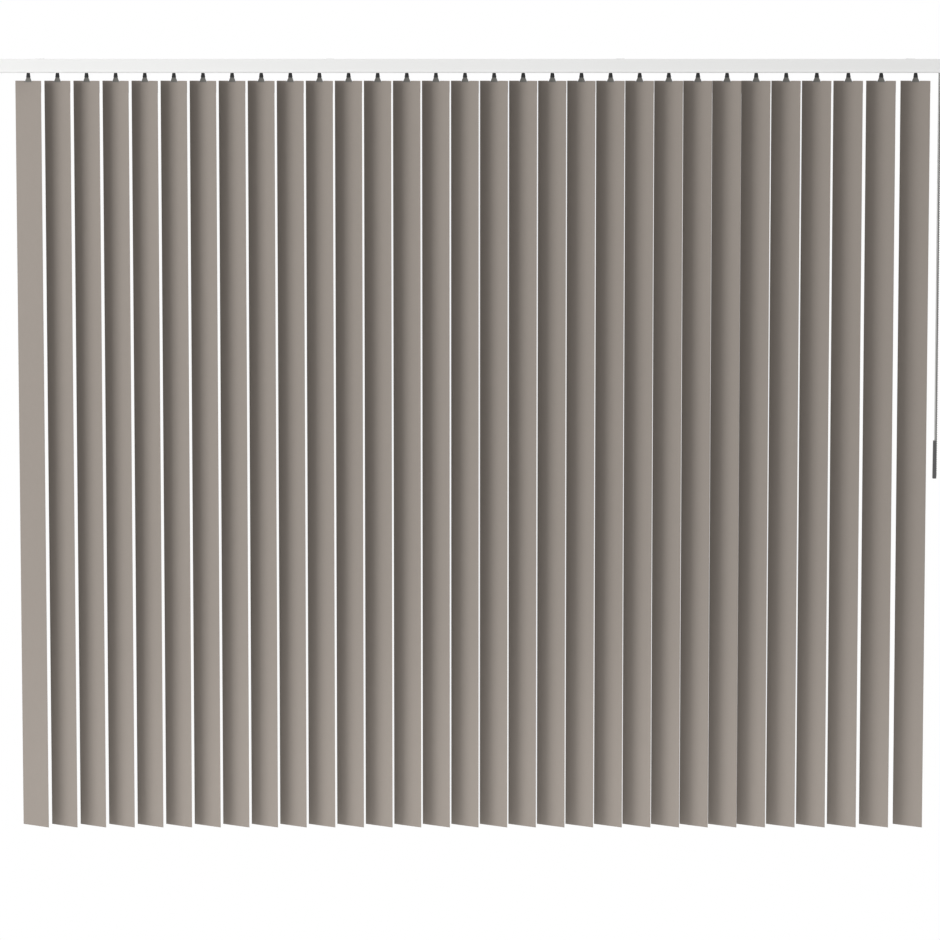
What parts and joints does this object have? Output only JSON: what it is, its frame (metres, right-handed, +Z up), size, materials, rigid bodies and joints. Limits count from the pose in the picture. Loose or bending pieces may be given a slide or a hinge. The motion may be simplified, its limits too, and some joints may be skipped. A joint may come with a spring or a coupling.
{
  "type": "vertical blind",
  "caption": "Ceiling-fixed headrail with a full row of flat upright fabric slats that tilt together by a geared rod and bead chain, and a weighted draw cord loop at one end.",
  "frame": {"origin": "on the ceiling plane, on the line of the bracket screws, half way between the two inner screws", "axes": "+X along the headrail towards the control end, +Z up, -Y towards the room"},
  "size_m": [2.5, 0.059, 2.037],
  "materials": {
    "rail": "white powder coat",
    "bracket": "white paint",
    "white_plastic": "moulded white",
    "dark_plastic": "moulded near-black",
    "dark_grey_plastic": "moulded dark grey",
    "bare_aluminium": "mill finish",
    "steel": "bright",
    "cord": "braided",
    "chain": "moulded beads",
    "slat_fabric": "stiffened weave, taupe"
  },
  "bodies": {
    "frame": {"headrail": "rail", "ceiling_brackets": "bracket", "lead_truck": "dark_plastic", "carrier_trucks": "dark_plastic", "spacer_links": "steel", "tilt_chain": "chain", "chain_connector": "chain", "control_end_cap": "white_plastic", "control_housing": "white_plastic", "cord_pulley_pin": "steel", "return_end_cap": "white_plastic", "return_housing": "white_plastic", "return_pulley_pin": "steel", "draw_cord": "cord", "cord_weight": "dark_grey_plastic", "weight_cap": "dark_grey_plastic", "weight_pin": "steel"},
    "rod": {"tilt_rod": "bare_aluminium", "tilt_worms": "white_plastic", "chain_sprocket": "white_plastic"},
    "front_cord_pulley": {"front_cord_pulley": "dark_plastic"},
    "rear_cord_pulley": {"rear_cord_pulley": "dark_plastic"},
    "return_pulley": {"return_pulley": "dark_plastic"},
    "vane_01": {"vane_01": "slat_fabric"},
    "vane_02": {"vane_02": "slat_fabric"},
    "vane_03": {"vane_03": "slat_fabric"},
    "vane_04": {"vane_04": "slat_fabric"},
    "vane_05": {"vane_05": "slat_fabric"},
    "vane_06": {"vane_06": "slat_fabric"},
    "vane_07": {"vane_07": "slat_fabric"},
    "vane_08": {"vane_08": "slat_fabric"},
    "vane_09": {"vane_09": "slat_fabric"},
    "vane_10": {"vane_10": "slat_fabric"},
    "vane_11": {"vane_11": "slat_fabric"},
    "vane_12": {"vane_12": "slat_fabric"},
    "vane_13": {"vane_13": "slat_fabric"},
    "vane_14": {"vane_14": "slat_fabric"},
    "vane_15": {"vane_15": "slat_fabric"},
    "vane_16": {"vane_16": "slat_fabric"},
    "vane_17": {"vane_17": "slat_fabric"},
    "vane_18": {"vane_18": "slat_fabric"},
    "vane_19": {"vane_19": "slat_fabric"},
    "vane_20": {"vane_20": "slat_fabric"},
    "vane_21": {"vane_21": "slat_fabric"},
    "vane_22": {"vane_22": "slat_fabric"},
    "vane_23": {"vane_23": "slat_fabric"},
    "vane_24": {"vane_24": "slat_fabric"},
    "vane_25": {"vane_25": "slat_fabric"},
    "vane_26": {"vane_26": "slat_fabric"},
    "vane_27": {"vane_27": "slat_fabric"},
    "vane_28": {"vane_28": "slat_fabric"},
    "vane_29": {"vane_29": "slat_fabric"},
    "vane_30": {"vane_30": "slat_fabric"},
    "vane_31": {"vane_31": "slat_fabric"}
  },
  "joints": [
    {"name": "vane_01_tilt", "type": "hinge", "parent": "frame", "child": "vane_01", "pos_m": [-1.1708, 0, -0.0376], "axis": [0, 0, 1], "range_deg": [-138.4, 29.6]},
    {"name": "vane_02_tilt", "type": "hinge", "parent": "frame", "child": "vane_02", "pos_m": [-1.09455, 0, -0.0376], "axis": [0, 0, 1], "range_deg": [-138.4, 29.6]},
    {"name": "vane_03_tilt", "type": "hinge", "parent": "frame", "child": "vane_03", "pos_m": [-1.0183, 0, -0.0376], "axis": [0, 0, 1], "range_deg": [-138.4, 29.6]},
    {"name": "vane_04_tilt", "type": "hinge", "parent": "frame", "child": "vane_04", "pos_m": [-0.94205, 0, -0.0376], "axis": [0, 0, 1], "range_deg": [-138.4, 29.6]},
    {"name": "vane_05_tilt", "type": "hinge", "parent": "frame", "child": "vane_05", "pos_m": [-0.8658, 0, -0.0376], "axis": [0, 0, 1], "range_deg": [-138.4, 29.6]},
    {"name": "vane_06_tilt", "type": "hinge", "parent": "frame", "child": "vane_06", "pos_m": [-0.78955, 0, -0.0376], "axis": [0, 0, 1], "range_deg": [-138.4, 29.6]},
    {"name": "vane_07_tilt", "type": "hinge", "parent": "frame", "child": "vane_07", "pos_m": [-0.7133, 0, -0.0376], "axis": [0, 0, 1], "range_deg": [-138.4, 29.6]},
    {"name": "vane_08_tilt", "type": "hinge", "parent": "frame", "child": "vane_08", "pos_m": [-0.63705, 0, -0.0376], "axis": [0, 0, 1], "range_deg": [-138.4, 29.6]},
    {"name": "vane_09_tilt", "type": "hinge", "parent": "frame", "child": "vane_09", "pos_m": [-0.5608, 0, -0.0376], "axis": [0, 0, 1], "range_deg": [-138.4, 29.6]},
    {"name": "vane_10_tilt", "type": "hinge", "parent": "frame", "child": "vane_10", "pos_m": [-0.48455, 0, -0.0376], "axis": [0, 0, 1], "range_deg": [-138.4, 29.6]},
    {"name": "vane_11_tilt", "type": "hinge", "parent": "frame", "child": "vane_11", "pos_m": [-0.4083, 0, -0.0376], "axis": [0, 0, 1], "range_deg": [-138.4, 29.6]},
    {"name": "vane_12_tilt", "type": "hinge", "parent": "frame", "child": "vane_12", "pos_m": [-0.33205, 0, -0.0376], "axis": [0, 0, 1], "range_deg": [-138.4, 29.6]},
    {"name": "vane_13_tilt", "type": "hinge", "parent": "frame", "child": "vane_13", "pos_m": [-0.2558, 0, -0.0376], "axis": [0, 0, 1], "range_deg": [-138.4, 29.6]},
    {"name": "vane_14_tilt", "type": "hinge", "parent": "frame", "child": "vane_14", "pos_m": [-0.17955, 0, -0.0376], "axis": [0, 0, 1], "range_deg": [-138.4, 29.6]},
    {"name": "vane_15_tilt", "type": "hinge", "parent": "frame", "child": "vane_15", "pos_m": [-0.1033, 0, -0.0376], "axis": [0, 0, 1], "range_deg": [-138.4, 29.6]},
    {"name": "vane_16_tilt", "type": "hinge", "parent": "frame", "child": "vane_16", "pos_m": [-0.02705, 0, -0.0376], "axis": [0, 0, 1], "range_deg": [-138.4, 29.6]},
    {"name": "vane_17_tilt", "type": "hinge", "parent": "frame", "child": "vane_17", "pos_m": [0.0492, 0, -0.0376], "axis": [0, 0, 1], "range_deg": [-138.4, 29.6]},
    {"name": "vane_18_tilt", "type": "hinge", "parent": "frame", "child": "vane_18", "pos_m": [0.12545, 0, -0.0376], "axis": [0, 0, 1], "range_deg": [-138.4, 29.6]},
    {"name": "vane_19_tilt", "type": "hinge", "parent": "frame", "child": "vane_19", "pos_m": [0.2017, 0, -0.0376], "axis": [0, 0, 1], "range_deg": [-138.4, 29.6]},
    {"name": "vane_20_tilt", "type": "hinge", "parent": "frame", "child": "vane_20", "pos_m": [0.27795, 0, -0.0376], "axis": [0, 0, 1], "range_deg": [-138.4, 29.6]},
    {"name": "vane_21_tilt", "type": "hinge", "parent": "frame", "child": "vane_21", "pos_m": [0.3542, 0, -0.0376], "axis": [0, 0, 1], "range_deg": [-138.4, 29.6]},
    {"name": "vane_22_tilt", "type": "hinge", "parent": "frame", "child": "vane_22", "pos_m": [0.43045, 0, -0.0376], "axis": [0, 0, 1], "range_deg": [-138.4, 29.6]},
    {"name": "vane_23_tilt", "type": "hinge", "parent": "frame", "child": "vane_23", "pos_m": [0.5067, 0, -0.0376], "axis": [0, 0, 1], "range_deg": [-138.4, 29.6]},
    {"name": "vane_24_tilt", "type": "hinge", "parent": "frame", "child": "vane_24", "pos_m": [0.58295, 0, -0.0376], "axis": [0, 0, 1], "range_deg": [-138.4, 29.6]},
    {"name": "vane_25_tilt", "type": "hinge", "parent": "frame", "child": "vane_25", "pos_m": [0.6592, 0, -0.0376], "axis": [0, 0, 1], "range_deg": [-138.4, 29.6]},
    {"name": "vane_26_tilt", "type": "hinge", "parent": "frame", "child": "vane_26", "pos_m": [0.73545, 0, -0.0376], "axis": [0, 0, 1], "range_deg": [-138.4, 29.6]},
    {"name": "vane_27_tilt", "type": "hinge", "parent": "frame", "child": "vane_27", "pos_m": [0.81418, 0, -0.0376], "axis": [0, 0, 1], "range_deg": [-138.4, 29.6]},
    {"name": "vane_28_tilt", "type": "hinge", "parent": "frame", "child": "vane_28", "pos_m": [0.89435, 0, -0.0376], "axis": [0, 0, 1], "range_deg": [-138.4, 29.6]},
    {"name": "vane_29_tilt", "type": "hinge", "parent": "frame", "child": "vane_29", "pos_m": [0.97692, 0, -0.0376], "axis": [0, 0, 1], "range_deg": [-138.4, 29.6]},
    {"name": "vane_30_tilt", "type": "hinge", "parent": "frame", "child": "vane_30", "pos_m": [1.06285, 0, -0.0376], "axis": [0, 0, 1], "range_deg": [-138.4, 29.6]},
    {"name": "vane_31_tilt", "type": "hinge", "parent": "frame", "child": "vane_31", "pos_m": [1.1531, 0, -0.0376], "axis": [0, 0, 1], "range_deg": [-138.4, 29.6]},
    {"name": "rod_turn", "type": "hinge", "parent": "frame", "child": "rod", "pos_m": [0, 0.0093, -0.0291], "axis": [1, 0, 0], "range_deg": [-830.4, 177.6]},
    {"name": "front_cord_pulley_turn", "type": "hinge", "parent": "frame", "child": "front_cord_pulley", "pos_m": [1.2083, -0.0155, -0.0235], "axis": [0, 1, 0], "continuous": true},
    {"name": "rear_cord_pulley_turn", "type": "hinge", "parent": "frame", "child": "rear_cord_pulley", "pos_m": [1.2083, -0.0065, -0.0235], "axis": [0, 1, 0], "continuous": true},
    {"name": "return_pulley_turn", "type": "hinge", "parent": "frame", "child": "return_pulley", "pos_m": [-1.233, -0.011, -0.019], "axis": [0, 0, 1], "continuous": true}
  ],
  "couplings": [
    {"joint": "vane_02_tilt", "follows": "vane_01_tilt", "ratio": 1},
    {"joint": "vane_03_tilt", "follows": "vane_01_tilt", "ratio": 1},
    {"joint": "vane_04_tilt", "follows": "vane_01_tilt", "ratio": 1},
    {"joint": "vane_05_tilt", "follows": "vane_01_tilt", "ratio": 1},
    {"joint": "vane_06_tilt", "follows": "vane_01_tilt", "ratio": 1},
    {"joint": "vane_07_tilt", "follows": "vane_01_tilt", "ratio": 1},
    {"joint": "vane_08_tilt", "follows": "vane_01_tilt", "ratio": 1},
    {"joint": "vane_09_tilt", "follows": "vane_01_tilt", "ratio": 1},
    {"joint": "vane_10_tilt", "follows": "vane_01_tilt", "ratio": 1},
    {"joint": "vane_11_tilt", "follows": "vane_01_tilt", "ratio": 1},
    {"joint": "vane_12_tilt", "follows": "vane_01_tilt", "ratio": 1},
    {"joint": "vane_13_tilt", "follows": "vane_01_tilt", "ratio": 1},
    {"joint": "vane_14_tilt", "follows": "vane_01_tilt", "ratio": 1},
    {"joint": "vane_15_tilt", "follows": "vane_01_tilt", "ratio": 1},
    {"joint": "vane_16_tilt", "follows": "vane_01_tilt", "ratio": 1},
    {"joint": "vane_17_tilt", "follows": "vane_01_tilt", "ratio": 1},
    {"joint": "vane_18_tilt", "follows": "vane_01_tilt", "ratio": 1},
    {"joint": "vane_19_tilt", "follows": "vane_01_tilt", "ratio": 1},
    {"joint": "vane_20_tilt", "follows": "vane_01_tilt", "ratio": 1},
    {"joint": "vane_21_tilt", "follows": "vane_01_tilt", "ratio": 1},
    {"joint": "vane_22_tilt", "follows": "vane_01_tilt", "ratio": 1},
    {"joint": "vane_23_tilt", "follows": "vane_01_tilt", "ratio": 1},
    {"joint": "vane_24_tilt", "follows": "vane_01_tilt", "ratio": 1},
    {"joint": "vane_25_tilt", "follows": "vane_01_tilt", "ratio": 1},
    {"joint": "vane_26_tilt", "follows": "vane_01_tilt", "ratio": 1},
    {"joint": "vane_27_tilt", "follows": "vane_01_tilt", "ratio": 1},
    {"joint": "vane_28_tilt", "follows": "vane_01_tilt", "ratio": 1},
    {"joint": "vane_29_tilt", "follows": "vane_01_tilt", "ratio": 1},
    {"joint": "vane_30_tilt", "follows": "vane_01_tilt", "ratio": 1},
    {"joint": "vane_31_tilt", "follows": "vane_01_tilt", "ratio": 1},
    {"joint": "rod_turn", "follows": "vane_01_tilt", "ratio": 6},
    {"joint": "rear_cord_pulley_turn", "follows": "front_cord_pulley_turn", "ratio": -1},
    {"joint": "return_pulley_turn", "follows": "front_cord_pulley_turn", "ratio": 1}
  ]
}
